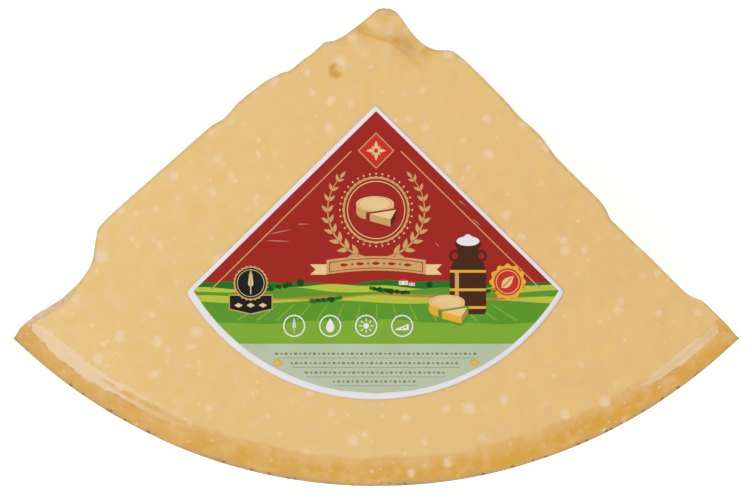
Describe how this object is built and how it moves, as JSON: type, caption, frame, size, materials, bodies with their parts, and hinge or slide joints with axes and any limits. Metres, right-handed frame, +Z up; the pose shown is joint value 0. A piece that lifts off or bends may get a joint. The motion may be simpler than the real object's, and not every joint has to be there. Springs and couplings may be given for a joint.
{
  "type": "parmesan chunk",
  "caption": "Wedge of hard, crystalline cheese cut from a large wheel, with rough split sides, a rind and a paper label on its flat face.",
  "frame": {"origin": "middle of the base, where the flat rind rests", "axes": "+X across the wedge from split side to split side, -Y towards the rind's curved side, +Z up, out of the labelled face"},
  "size_m": [0.2934, 0.1998, 0.1184],
  "materials": {
    "cheese": "aged hard cheese: fine satin grain with pale crystals, golden rind",
    "label": "coated printed paper, satin"
  },
  "bodies": {
    "root": {"cheese": "cheese", "label": "label"}
  },
  "joints": []
}
